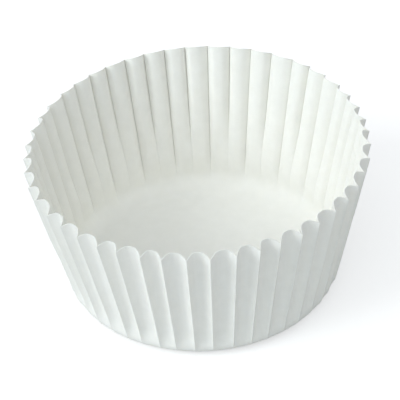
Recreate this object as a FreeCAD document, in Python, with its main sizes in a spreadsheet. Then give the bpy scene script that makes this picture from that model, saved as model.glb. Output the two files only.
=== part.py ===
import FreeCAD, Part
import math
import os

import Sketcher

# Pleated paper baking cup, pressed from one disc of thin paper.
# Millimetres, +Z up. The origin is the middle of the underside, on the surface that the cup stands on.
# The paper is a solid cup, with a hollow cut into its wall for each pleat, less the space in the cup.
# The space is drawn by the same functions, one thickness of paper in from the outside.
# The rim stands higher at the bottom of each pleat than at the outward folds.

NODE = "liner"

# Driving sizes: alias, value, what it is
SIZES = [
    ("paper", 0.1, "thickness of the paper"),
    ("base_radius", 25.0, "where the line of the wall meets the underside"),
    ("corner_radius", 4.0, "outside of the rounded corner between base and wall"),
    ("rim_radius", 31.5, "outward folds at the rim"),
    ("rim_height", 28.2, "rim above the underside, at the outward folds"),
    ("pleats", 48, "pleats round the cup"),
    ("foot_depth", 0.45, "depth of a pleat where the line of the wall meets the underside"),
    ("rim_depth", 2.1, "depth of a pleat at the rim"),
    ("rim_rise", 0.7, "how much higher the rim is at the bottom of a pleat than at the folds"),
    ("overrun", 1.0, "how far a shape that is cut away runs past the rim"),
]

# Straight steps that stand for the rounded corner, and flats that stand for a whole round hollow
CORNER_STEPS = 3
HOLLOW_FLATS = 9

# How far the wall, and the bottom of a hollow in it, go outward for each millimetre up
WALL_SLOPE = "((Sizes.rim_radius - Sizes.base_radius) / Sizes.rim_height)"
HOLLOW_SLOPE = f"({WALL_SLOPE} - (Sizes.rim_depth - Sizes.foot_depth) / Sizes.rim_height)"

# Hollows at the rim are two thicknesses of paper apart: the outward folds there are pressed shut
HOLLOW_ROUND = "(Sizes.rim_radius * sin(180 deg / Sizes.pleats) - Sizes.paper)"
HOLLOW_AWAY = f"(Sizes.base_radius - Sizes.foot_depth + {HOLLOW_ROUND})"

# How far the edge of the paper rises for each millimetre in from the folds
EDGE_SLOPE = "(Sizes.rim_rise / Sizes.rim_depth)"

# Middle of the rounded corner, which touches the underside and the wall
CORNER_SETBACK = f"(Sizes.corner_radius / cos(atan({WALL_SLOPE})))"
CORNER_AWAY = f"(Sizes.base_radius + Sizes.corner_radius * {WALL_SLOPE} - {CORNER_SETBACK})"


def make_sheet(doc):
    sheet = doc.addObject("Spreadsheet::Sheet", "Sizes")
    for row, (alias, size, meaning) in enumerate(SIZES, start=1):
        sheet.set(f"A{row}", meaning)
        sheet.set(f"B{row}", str(size))
        sheet.setAlias(f"B{row}", alias)
    doc.recompute()
    return sheet


def number(sheet, expression):
    """The value that an expression of the sheet has now."""
    result = sheet.evalExpression(expression)
    return float(getattr(result, "Value", result))


def new_sketch(body, name, role):
    """An empty sketch on one of the body's own origin planes."""
    sketch = body.newObject("Sketcher::SketchObject", name)
    plane = next(item for item in body.Origin.OriginFeatures if item.Role == role)
    sketch.AttachmentSupport = [(plane, "")]
    sketch.MapMode = "FlatFace"
    return sketch


def add_outline(sketch, points):
    """Add a closed outline of straight lines through the points, and give its lines."""
    ends = points[1:] + points[:1]
    lines = [sketch.addGeometry(Part.LineSegment(*pair), False) for pair in zip(points, ends)]
    for line, following in zip(lines, lines[1:] + lines[:1]):
        sketch.addConstraint(Sketcher.Constraint("Coincident", line, 2, following, 1))
    return lines


def add_circle(sketch, middle, radius):
    """Add a circle to draw along, which is no part of the outline."""
    return sketch.addGeometry(Part.Circle(middle, FreeCAD.Vector(0, 0, 1), radius), True)


def step_along(sketch, lines, circle):
    """Make lines that follow each other equal steps along a circle."""
    for line, following in zip(lines, lines[1:]):
        sketch.addConstraint(Sketcher.Constraint("PointOnObject", line, 2, circle))
        sketch.addConstraint(Sketcher.Constraint("Equal", line, following))


def bind(sketch, sheet, name, expression, kind, *where):
    """Add a named size to the sketch, worked out by an expression of the sheet."""
    size = Sketcher.Constraint(kind, *where, number(sheet, expression))
    sketch.renameConstraint(sketch.addConstraint(size), name)
    sketch.setExpression(f"Constraints.{name}", expression)


def on_circle(middle, radius, angle):
    return middle + FreeCAD.Vector(radius * math.cos(angle), radius * math.sin(angle), 0)


def half_section(body, sheet, inset, overrun):
    """Outline of half a filled cup without pleats, whose top rises evenly to a peak in the middle.

    It lies inside the paper's outside by the inset and runs past the rim by the overrun, both given
    as expressions of the sheet.
    """
    sketch = new_sketch(body, f"{body.Name}Outline", "XZ_Plane")
    corner_radius = f"(Sizes.corner_radius - {inset})"
    top_height = f"(Sizes.rim_height + {overrun})"
    wall_inset = f"({inset} / cos(atan({WALL_SLOPE})))"
    top_radius = f"(Sizes.rim_radius + {overrun} * {WALL_SLOPE} - {wall_inset})"
    peak_height = f"({top_height} + {top_radius} * {EDGE_SLOPE})"

    middle = FreeCAD.Vector(number(sheet, CORNER_AWAY), number(sheet, "Sizes.corner_radius"), 0)
    radius = number(sheet, corner_radius)
    turn = math.pi / 2 - math.atan(number(sheet, WALL_SLOPE))
    angles = [turn * step / CORNER_STEPS - math.pi / 2 for step in range(CORNER_STEPS + 1)]
    corner = [on_circle(middle, radius, angle) for angle in angles]
    wall_top = FreeCAD.Vector(number(sheet, top_radius), number(sheet, top_height), 0)
    base_middle = FreeCAD.Vector(0, corner[0].y, 0)
    top_middle = FreeCAD.Vector(0, number(sheet, peak_height), 0)

    base, *steps, wall, top, axis = add_outline(
        sketch, [base_middle, *corner, wall_top, top_middle]
    )
    circle = add_circle(sketch, middle, radius)
    for constraint in (
        Sketcher.Constraint("Horizontal", base),
        Sketcher.Constraint("PointOnObject", axis, 1, -2),
        Sketcher.Constraint("PointOnObject", axis, 2, -2),
        Sketcher.Constraint("Tangent", base, 2, circle),
        Sketcher.Constraint("Tangent", wall, 1, circle),
    ):
        sketch.addConstraint(constraint)
    step_along(sketch, steps, circle)
    bind(sketch, sheet, "corner_radius", corner_radius, "Radius", circle)
    bind(sketch, sheet, "corner_away", CORNER_AWAY, "DistanceX", -1, 1, circle, 3)
    bind(sketch, sheet, "corner_height", "Sizes.corner_radius", "DistanceY", -1, 1, circle, 3)
    bind(sketch, sheet, "top_radius", top_radius, "DistanceX", -1, 1, wall, 2)
    bind(sketch, sheet, "top_height", top_height, "DistanceY", -1, 1, wall, 2)
    bind(sketch, sheet, "peak_height", peak_height, "DistanceY", -1, 1, top, 2)
    return sketch


def hollow_outline(body, sheet, inset):
    """Level outline of the hollow on +X, at the underside."""
    sketch = new_sketch(body, f"{body.Name}HollowOutline", "XY_Plane")
    hollow_radius = f"({HOLLOW_ROUND} + {inset})"
    middle = FreeCAD.Vector(number(sheet, HOLLOW_AWAY), 0, 0)
    radius = number(sheet, hollow_radius)
    angles = [2 * math.pi * flat / HOLLOW_FLATS for flat in range(HOLLOW_FLATS)]
    flats = add_outline(sketch, [on_circle(middle, radius, angle) for angle in angles])
    circle = add_circle(sketch, middle, radius)
    sketch.addConstraint(Sketcher.Constraint("PointOnObject", flats[0], 1, circle))
    sketch.addConstraint(Sketcher.Constraint("PointOnObject", flats[0], 1, -1))
    sketch.addConstraint(Sketcher.Constraint("PointOnObject", circle, 3, -1))
    step_along(sketch, flats, circle)
    bind(sketch, sheet, "hollow_radius", hollow_radius, "Radius", circle)
    bind(sketch, sheet, "hollow_away", HOLLOW_AWAY, "DistanceX", -1, 1, circle, 3)
    return sketch


def add_pleated_solid(doc, sheet, name, inset="0", overrun="0"):
    """A solid in the shape of the pleated cup, inside the paper's outside by the inset."""
    body = doc.addObject("PartDesign::Body", name)
    section = half_section(body, sheet, inset, overrun)
    filled = body.newObject("PartDesign::Revolution", f"{name}Filled")
    filled.Profile = section
    filled.ReferenceAxis = (section, ["V_Axis"])

    outline = hollow_outline(body, sheet, inset)
    hollow = body.newObject("PartDesign::Pocket", f"{name}Hollow")
    hollow.Profile = outline
    hollow.UseCustomVector = True
    hollow.Direction = (0, 0, 1)
    hollow.setExpression("Direction.x", HOLLOW_SLOPE)
    hollow.AlongSketchNormal = True
    hollow.setExpression("Length", "Sizes.rim_height + 2 * Sizes.overrun")

    hollows = body.newObject("PartDesign::PolarPattern", f"{name}Hollows")
    hollows.Originals = [hollow]
    hollows.Axis = (outline, ["N_Axis"])
    hollows.Angle = 360
    hollows.setExpression("Occurrences", "Sizes.pleats")
    body.Tip = hollows
    return body


def add_liner(doc, sheet):
    """The paper: the outside of the cup less the space in it, which opens through the rim."""
    outside = add_pleated_solid(doc, sheet, "Outside")
    space = add_pleated_solid(doc, sheet, "Space", inset="Sizes.paper", overrun="Sizes.overrun")
    liner = doc.addObject("Part::Cut", NODE)
    liner.Label = NODE
    liner.Placement = FreeCAD.Placement()
    liner.Base = outside
    liner.Tool = space
    return liner


def check(doc, part):
    """Stop before anything is written when a feature has failed or the part isn't one solid."""
    for item in doc.Objects:
        if "Invalid" in item.State or "Error" in item.State:
            raise RuntimeError(f"{item.Label} did not recompute: {item.State}")
    if part.Shape.isNull() or not part.Shape.isValid() or len(part.Shape.Solids) != 1:
        raise RuntimeError(f"{part.Label} is not one valid solid")


def main():
    os.makedirs("parts", exist_ok=True)
    doc = FreeCAD.newDocument("Cup")
    liner = add_liner(doc, make_sheet(doc))
    doc.recompute()
    check(doc, liner)
    liner.Shape.exportStep(f"parts/{liner.Label}.step")


main()
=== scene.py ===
import math

import bpy
import numpy as np
from mathutils import Matrix, Vector


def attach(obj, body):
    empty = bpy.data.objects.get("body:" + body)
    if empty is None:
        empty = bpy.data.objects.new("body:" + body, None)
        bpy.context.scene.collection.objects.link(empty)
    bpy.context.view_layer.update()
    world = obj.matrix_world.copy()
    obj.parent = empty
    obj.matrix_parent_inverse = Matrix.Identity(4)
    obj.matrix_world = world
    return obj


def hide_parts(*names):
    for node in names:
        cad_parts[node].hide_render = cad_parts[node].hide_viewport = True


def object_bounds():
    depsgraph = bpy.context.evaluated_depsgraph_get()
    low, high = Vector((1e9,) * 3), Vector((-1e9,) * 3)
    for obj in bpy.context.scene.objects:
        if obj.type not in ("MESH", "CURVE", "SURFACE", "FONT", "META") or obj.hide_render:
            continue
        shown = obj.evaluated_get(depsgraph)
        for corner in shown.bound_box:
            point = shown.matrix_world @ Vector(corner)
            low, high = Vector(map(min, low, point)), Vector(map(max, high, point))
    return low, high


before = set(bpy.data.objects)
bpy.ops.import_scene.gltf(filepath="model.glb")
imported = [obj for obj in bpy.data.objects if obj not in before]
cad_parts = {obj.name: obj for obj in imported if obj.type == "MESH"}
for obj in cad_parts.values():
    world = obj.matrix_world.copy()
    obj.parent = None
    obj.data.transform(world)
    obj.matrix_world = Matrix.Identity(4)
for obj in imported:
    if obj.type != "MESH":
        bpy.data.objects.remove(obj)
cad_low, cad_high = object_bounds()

# A pleated paper baking cup. The cup and the camera are worked out in millimetres, and MM scales
# them to metres. The floor and the materials are in metres.
MM = 0.001
SEED = 7

# The cup's main sizes: the rim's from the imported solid's box, the others those of the solid
RIM_RADIUS = cad_high[1] / MM
BASE_RADIUS = 25.0
CORNER_RADIUS = 4.0
WALL_TOP = 28.2
PAPER = 0.1
PLEATS = 48
PITCH = 2 * math.pi / PLEATS

# Depth of the pleats, the heights between which they set in, and how much higher the rim is at the
# bottom of a pleat than at the folds
FOOT_DEPTH, RIM_DEPTH = 0.62, 1.52
DEPTH_POWER = 0.7
PLEATS_BEGIN, PLEATS_FULL = 0.3, 6.0
RIM_RISE = 0.88

# Level section of a pleat, as shares of its half width: a flat bottom, with a soft bend to even
# flanks. For a share of its depth it is a slit, pressed shut at the folds.
FOOT_FLAT, RIM_FLAT = 0.4, 0.46
BEND = 0.2
SLIT_SHARE = 0.15
SLIT_POWER = 9.0

# How far the inside of the paper stays from the middle of a fold that is pressed shut
SLIT_GAP = 0.02

# Every second fold fades out downwards, at the back of the cup more than at the front: the share
# of it that is left at the foot, and the heights between which it fades
FADED_DEPTH = 0.15
FADED_BELOW, WHOLE_ABOVE = 5.0, 16.5

# How far paper pulled apart by hand strays from the regular shape. Angles are shares of the pitch,
# depths of the depth and leans of half a pleat's width. At the rim, folds are drawn in and the edge
# between them is lowered, both in millimetres. The higher the power, the less reaches down the wall.
ANGLE_STRAY = 0.035
DEPTH_STRAY = 0.05
LEAN_STRAY = 0.12
RIM_STRAY, RIM_POWER = 0.10, 2
EDGE_STRAY, EDGE_POWER = 0.06, 8

# The rim is slightly oval, and its folds bunch up: waves round the cup, degrees, and where they peak
OVAL = 0.5
OVAL_ANGLE = math.radians(66.7)
OVAL_POWER = 1.5
BUNCHING = ((1, 0.8, -111.0), (3, 0.68, -48.0))

# Mesh: columns of a pleat, which crowd towards its folds, rows on the wall, corner and base, and
# the angle from which an edge is sharp
PLEAT_COLUMNS = 22
CROWDING = 1.6
WALL_ROWS = 32
CORNER_ROWS = 9
BASE_ROWS = 4
SHARP_ANGLE = math.radians(60)

# Colour of the key and top lamps
DAYLIGHT = (0.95, 1.0, 1.03)


def smooth(value, low, high):
    """0 below low, 1 above high, and an even S in between."""
    part = np.clip((value - low) / (high - low), 0, 1)
    return part * part * (3 - 2 * part)


def blend(foot, rim, up):
    """Between a value at the foot and one at the rim, by height."""
    return foot + (rim - foot) * up


def meridian():
    """The line of the folds from the edge of the flat base to the rim: radius and height."""
    slope = (RIM_RADIUS - BASE_RADIUS) / WALL_TOP
    lean = math.atan(slope)
    middle = BASE_RADIUS + CORNER_RADIUS * slope - CORNER_RADIUS / math.cos(lean)
    turn = np.linspace(0, math.pi / 2 - lean, CORNER_ROWS)
    corner_height = CORNER_RADIUS * (1 - np.cos(turn))
    wall_height = np.linspace(corner_height[-1], WALL_TOP, WALL_ROWS + 1)[1:]
    radius = np.concatenate([middle + CORNER_RADIUS * np.sin(turn), BASE_RADIUS + slope * wall_height])
    return radius, np.concatenate([corner_height, wall_height])


def fold_places(random):
    """Angle of each fold round the cup, from one turn below the last to the last."""
    regular = (np.arange(PLEATS) + 0.5) * PITCH
    bunched = sum(
        math.radians(size) * np.cos(waves * regular - math.radians(peak))
        for waves, size, peak in BUNCHING
    )
    angles = regular + bunched + random.normal(0, ANGLE_STRAY, PLEATS) * PITCH
    return np.concatenate([angles[-1:] - 2 * math.pi, angles])


def flank(near, flat):
    """0 at the middle of a pleat and 1 at a fold: level at first, then an even slope."""

    def climb(at):
        return at - flat + np.sqrt((at - flat) ** 2 + BEND**2)

    return (climb(near) - climb(0)) / (climb(1) - climb(0))


def pleat_rows(radius, height, low, high, stray):
    """Angle, radius and crease of one pleat between the folds at two angles, in rows.

    The columns run from the first fold up to, but without, the second. The crease is 1 at a whole
    fold, and less away from it, where it fades and where the pleats set in.
    """
    up = (height / WALL_TOP)[:, None]
    spread = np.linspace(-1, 1, PLEAT_COLUMNS + 1)[:-1]
    across = np.sign(spread) * (1 - (1 - np.abs(spread)) ** CROWDING)
    near = np.tile(np.abs(across), (len(height), 1))

    middle, half = (low + high) / 2, (high - low) / 2
    leaned = across + stray["lean"] * up * (1 - across**2)
    angle = middle + half * leaned

    start = smooth(height, PLEATS_BEGIN, PLEATS_FULL)[:, None]
    depth = start * blend(FOOT_DEPTH, RIM_DEPTH, up**DEPTH_POWER) * stray["depth"]
    faded = (1 - smooth(height, FADED_BELOW, WHOLE_ABOVE))[:, None]
    kept = 1 - (1 - FADED_DEPTH) * faded * np.where(across < 0, *stray["faded"])
    sloped = flank(near, blend(FOOT_FLAT, RIM_FLAT, up))
    outward = ((1 - SLIT_SHARE) * sloped + SLIT_SHARE * near**SLIT_POWER) * kept
    drawn_in = np.where(across < 0, *stray["drawn"]) * near**2 * up**RIM_POWER
    return angle, radius[:, None] - depth * (1 - outward) - drawn_in, near * kept * start


def liner_points():
    """The outside of the paper from the base to the rim: rows of points, their creases, the folds.

    The folds are the angles of the pleats' ends, and the middle of the base is left out.
    """
    random = np.random.RandomState(SEED)
    radius, height = meridian()
    folds = fold_places(random)
    deeper = 1 + random.normal(0, DEPTH_STRAY, PLEATS)
    leans = random.normal(0, LEAN_STRAY, PLEATS)
    drawn = np.abs(random.normal(0, RIM_STRAY, PLEATS))
    lower = np.abs(random.normal(0, EDGE_STRAY, PLEATS))
    faded = np.arange(PLEATS + 1) % 2 * (1 + np.sin(folds)) / 2

    pleats = []
    for pleat in range(PLEATS):
        stray = {
            "depth": deeper[pleat],
            "lean": leans[pleat],
            "drawn": (drawn[pleat - 1], drawn[pleat]),
            "faded": faded[pleat : pleat + 2],
        }
        pleats.append(pleat_rows(radius, height, folds[pleat], folds[pleat + 1], stray))
    angle, distance, crease = (np.concatenate(rows, axis=1) for rows in zip(*pleats))

    up = (height / WALL_TOP)[:, None]
    rise = smooth(height, 0, CORNER_RADIUS)[:, None] * RIM_RISE / RIM_DEPTH
    z = height[:, None] + (radius[:, None] - distance) * rise
    z = z - np.repeat(lower, PLEAT_COLUMNS)[None, :] * (1 - crease) * up**EDGE_POWER
    distance = distance + OVAL * up**OVAL_POWER * np.cos(2 * (angle - OVAL_ANGLE))
    rows = np.stack([distance * np.cos(angle), distance * np.sin(angle), z], axis=2)

    shares = np.linspace(0, 1, BASE_ROWS + 1)[1:-1]
    base = shares[:, None, None] * rows[None, 0] * np.array([1, 1, 0])
    points = np.concatenate([base, rows], axis=0)
    crease = np.concatenate([np.zeros((len(base), crease.shape[1])), crease], axis=0)
    return points, crease, folds


def normals(points):
    """Outward unit normals of rows of points that run round the cup."""
    around = np.roll(points, -1, axis=1) - np.roll(points, 1, axis=1)
    upward = np.gradient(points, axis=0)
    result = np.cross(around, upward)
    return result / np.linalg.norm(result, axis=2, keepdims=True)


def inside_points(outside, folds):
    """The inside of the paper, which doesn't cross itself where a fold is pressed shut.

    Each point stays between the folds of its own pleat, apart from those at the folds themselves.
    """
    inside = outside - PAPER * normals(outside)
    inside[-1, :, 2] = outside[-1, :, 2]
    low, high = (np.repeat(ends, PLEAT_COLUMNS) for ends in (folds[:-1], folds[1:]))
    gap = SLIT_GAP / RIM_RADIUS
    turned = (np.arctan2(inside[..., 1], inside[..., 0]) - low + math.pi) % (2 * math.pi) - math.pi
    held = np.clip(turned, gap, high - low - gap)
    held[:, ::PLEAT_COLUMNS] = turned[:, ::PLEAT_COLUMNS]
    distance = np.hypot(inside[..., 0], inside[..., 1])
    inside[..., 0] = distance * np.cos(low + held)
    inside[..., 1] = distance * np.sin(low + held)
    return inside


def grid_faces(rows, columns, first, flip):
    """Faces between rows of points that close on themselves."""
    faces = []
    for row in range(rows - 1):
        for column in range(columns):
            following = (column + 1) % columns
            here = first + row * columns + column
            beside = first + row * columns + following
            face = (here, beside, beside + columns, here + columns)
            faces.append(face[::-1] if flip else face)
    return faces


def fan_faces(columns, first, middle, flip):
    """Faces from the first row of points to the point in the middle of the base."""
    faces = []
    for column in range(columns):
        face = (middle, first + (column + 1) % columns, first + column)
        faces.append(face[::-1] if flip else face)
    return faces


def edge_faces(columns, outer, inner):
    """Faces of the paper's cut edge, between the last rows of its outside and its inside."""
    faces = []
    for column in range(columns):
        following = (column + 1) % columns
        faces.append((outer + column, outer + following, inner + following, inner + column))
    return faces


def build_liner(material):
    """The cup as one closed sheet of paper."""
    outside, crease, folds = liner_points()
    inside = inside_points(outside, folds)
    rows, columns = outside.shape[:2]
    size = rows * columns
    middles = [(0, 0, 0), (0, 0, PAPER)]
    vertices = np.concatenate([outside.reshape(-1, 3), inside.reshape(-1, 3), middles])
    faces = grid_faces(rows, columns, 0, False)
    faces += grid_faces(rows, columns, size, True)
    faces += fan_faces(columns, 0, 2 * size, False)
    faces += fan_faces(columns, size, 2 * size + 1, True)
    faces += edge_faces(columns, size - columns, 2 * size - columns)

    mesh = bpy.data.meshes.new("liner_paper")
    mesh.from_pydata((vertices * MM).tolist(), [], faces)
    mesh.validate()
    mesh.shade_smooth()
    mesh.set_sharp_from_angle(angle=SHARP_ANGLE)
    creases = np.concatenate([crease.ravel(), -crease.ravel(), np.zeros(len(middles))])
    attribute = mesh.attributes.new("crease", "FLOAT", "POINT")
    attribute.data.foreach_set("value", creases.astype(np.float32))
    mesh.materials.append(material)
    liner = bpy.data.objects.new("liner_paper", mesh)
    bpy.context.scene.collection.objects.link(liner)
    return liner


class Nodes:
    """Short calls to add nodes and links to a material."""

    def __init__(self, name):
        self.material = bpy.data.materials.new(name)
        self.material.use_nodes = True
        self.tree = self.material.node_tree
        self.shader = self.tree.nodes["Principled BSDF"]

    def add(self, kind, inputs=(), **settings):
        """A new node with its settings, and with a value or a link for each input given."""
        node = self.tree.nodes.new(kind)
        for name, value in settings.items():
            setattr(node, name, value)
        for socket, value in dict(inputs).items():
            if isinstance(value, bpy.types.NodeSocket):
                self.tree.links.new(value, node.inputs[socket])
            else:
                node.inputs[socket].default_value = value
        return node

    def remap(self, value, low, high, to_low, to_high):
        """A value between two others, carried over to between two new ones."""
        inputs = {"Value": value, "From Min": low, "From Max": high, "To Min": to_low, "To Max": to_high}
        return self.add("ShaderNodeMapRange", inputs).outputs["Result"]

    def times(self, first, second):
        """The product of two numbers."""
        inputs = {0: first, 1: second}
        return self.add("ShaderNodeMath", inputs, operation="MULTIPLY").outputs["Value"]

    def shade(self, colour, factor):
        """A colour made darker or lighter by a factor."""
        inputs = {0: colour, "Scale": factor}
        return self.add("ShaderNodeVectorMath", inputs, operation="SCALE").outputs["Vector"]

    def give(self, output, socket):
        """Link an output to a socket of the shader."""
        self.tree.links.new(output, self.shader.inputs[socket])


def paper_material():
    """Matt greaseproof paper: off-white, faintly cloudy, with fibres.

    Its folds are painted slightly paler outside, partly as wear and partly as a painted highlight on
    the lit ridges, and darker inside, as painted shade in the slits. The crease attribute is 1 on the
    outside of a whole fold, -1 on its inside and 0 where it is flat.
    """
    nodes = Nodes("greaseproof_paper")
    place = nodes.add("ShaderNodeTexCoord").outputs["Object"]
    cloud = nodes.add(
        "ShaderNodeTexNoise",
        {"Vector": place, "Scale": 420.0, "Detail": 4.0, "Roughness": 0.6},
    ).outputs["Fac"]
    stretched = nodes.add("ShaderNodeMapping", {"Vector": place, "Scale": (1.0, 0.55, 0.3)})
    fibre = nodes.add(
        "ShaderNodeTexNoise",
        {
            "Vector": stretched.outputs["Vector"],
            "Scale": 5200.0,
            "Detail": 3.0,
            "Roughness": 0.7,
            "Distortion": 1.2,
        },
    ).outputs["Fac"]

    tint = nodes.add("ShaderNodeValToRGB", {"Fac": cloud})
    stops = ((0.3, (0.876, 0.868, 0.812, 1)), (0.7, (0.906, 0.898, 0.842, 1)))
    for element, (position, colour) in zip(tint.color_ramp.elements, stops):
        element.position = position
        element.color = colour
    crease = nodes.add("ShaderNodeAttribute", attribute_name="crease").outputs["Fac"]
    specks = nodes.remap(fibre, 0.0, 1.0, 0.97, 1.02)
    # Outside, the folds are painted paler: partly wear, partly a painted highlight on the lit ridges.
    wear_and_painted_highlight = nodes.remap(crease, 0.86, 1.0, 1.0, 1.03)
    # Inside, the folds are painted darker: painted shade in the slits, where little light gets in.
    painted_slit_shade = nodes.remap(crease, -1.0, -0.9, 0.88, 1.0)
    mottled = nodes.shade(tint.outputs["Color"], specks)
    nodes.give(nodes.shade(mottled, nodes.times(wear_and_painted_highlight, painted_slit_shade)), "Base Color")

    fibres = nodes.add("ShaderNodeBump", {"Height": fibre, "Strength": 0.12, "Distance": 0.00004})
    waves = nodes.add(
        "ShaderNodeBump",
        {
            "Height": cloud,
            "Strength": 0.12,
            "Distance": 0.00015,
            "Normal": fibres.outputs["Normal"],
        },
    )
    nodes.give(waves.outputs["Normal"], "Normal")
    nodes.shader.inputs["Roughness"].default_value = 0.72
    nodes.shader.inputs["Specular IOR Level"].default_value = 0.3
    nodes.shader.inputs["Subsurface Weight"].default_value = 0.35
    nodes.shader.inputs["Subsurface Radius"].default_value = (1.0, 0.95, 0.85)
    nodes.shader.inputs["Subsurface Scale"].default_value = 0.0003
    return nodes.material


def floor_material():
    """Plain pale table that looks white to the camera, with the object's shadow on it."""
    nodes = Nodes("studio_floor")
    nodes.shader.inputs["Base Color"].default_value = (0.62, 0.62, 0.62, 1)
    nodes.shader.inputs["Roughness"].default_value = 0.9
    nodes.shader.inputs["Specular IOR Level"].default_value = 0.1
    nodes.shader.inputs["Emission Color"].default_value = (1, 1, 1, 1)
    seen = nodes.add("ShaderNodeLightPath").outputs["Is Camera Ray"]
    nodes.give(nodes.times(seen, 0.5), "Emission Strength")
    return nodes.material


def build_floor():
    """A wide level floor, on which the cup stands."""
    reach = 3.0
    mesh = bpy.data.meshes.new("floor")
    corners = [(-reach, -reach, 0), (reach, -reach, 0), (reach, reach, 0), (-reach, reach, 0)]
    mesh.from_pydata(corners, [], [(0, 1, 2, 3)])
    mesh.materials.append(floor_material())
    floor = bpy.data.objects.new("floor", mesh)
    bpy.context.scene.collection.objects.link(floor)


def build_world(light, seen):
    """An even pale surround: how strongly it lights the cup, and how strongly the camera sees it."""
    world = bpy.data.worlds.new("surround")
    bpy.context.scene.world = world
    world.use_nodes = True
    tree = world.node_tree
    background = tree.nodes["Background"]
    background.inputs["Color"].default_value = (0.94, 0.98, 1.02, 1)
    path = tree.nodes.new("ShaderNodeLightPath")
    level = tree.nodes.new("ShaderNodeMix")
    level.inputs["A"].default_value = light
    level.inputs["B"].default_value = seen
    tree.links.new(path.outputs["Is Camera Ray"], level.inputs["Factor"])
    tree.links.new(level.outputs["Result"], background.inputs["Strength"])


def add_sun(name, azimuth, elevation, strength, softness, colour):
    """A distant soft lamp. Azimuth 0 shines from -Y, towards +Y, and 90 from +X."""
    lamp = bpy.data.lights.new(name, "SUN")
    lamp.energy = strength
    lamp.angle = math.radians(softness)
    lamp.color = colour
    sun = bpy.data.objects.new(name, lamp)
    turn, tilt = math.radians(azimuth), math.radians(elevation)
    source = Vector(
        (math.cos(tilt) * math.sin(turn), -math.cos(tilt) * math.cos(turn), math.sin(tilt))
    )
    sun.rotation_mode = "QUATERNION"
    sun.rotation_quaternion = source.to_track_quat("Z", "Y")
    bpy.context.scene.collection.objects.link(sun)


def build_camera():
    """The photograph's viewpoint, found from the rim, the base and the pleats."""
    elevation = math.radians(38.7)
    roll = math.radians(-3.11)
    turn = math.radians(1.41)
    distance, aside, above = 340.0, -0.64, 12.32
    nearest = 10.0
    focal_pixels, image_pixels, sensor = 1808.0, 400.0, 36.0

    back = Vector((0, -math.cos(elevation), math.sin(elevation)))
    right = Vector((1, 0, 0))
    up = back.cross(right)
    rolled_right = math.cos(roll) * right + math.sin(roll) * up
    rolled_up = math.cos(roll) * up - math.sin(roll) * right
    place = aside * rolled_right + above * rolled_up + distance * back
    matrix = Matrix((rolled_right, rolled_up, back)).transposed().to_4x4()
    matrix.translation = place * MM

    data = bpy.data.cameras.new("camera")
    data.sensor_width = sensor
    data.lens = focal_pixels / image_pixels * sensor
    data.clip_start = nearest * MM
    camera = bpy.data.objects.new("camera", data)
    camera.matrix_world = Matrix.Rotation(turn, 4, "Z") @ matrix
    bpy.context.scene.collection.objects.link(camera)
    bpy.context.scene.camera = camera


build_camera()
build_floor()
build_world(light=0.5, seen=1.04)
add_sun("key", azimuth=-66, elevation=32, strength=1.44, softness=32, colour=DAYLIGHT)
add_sun("top", azimuth=-10, elevation=64, strength=0.86, softness=70, colour=DAYLIGHT)
add_sun("fill", azimuth=-20, elevation=6, strength=0.2, softness=40, colour=(0.6, 0.94, 1.08))

liner = build_liner(paper_material())
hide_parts("liner")
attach(liner, "root")

bpy.context.scene.view_settings.view_transform = "Standard"
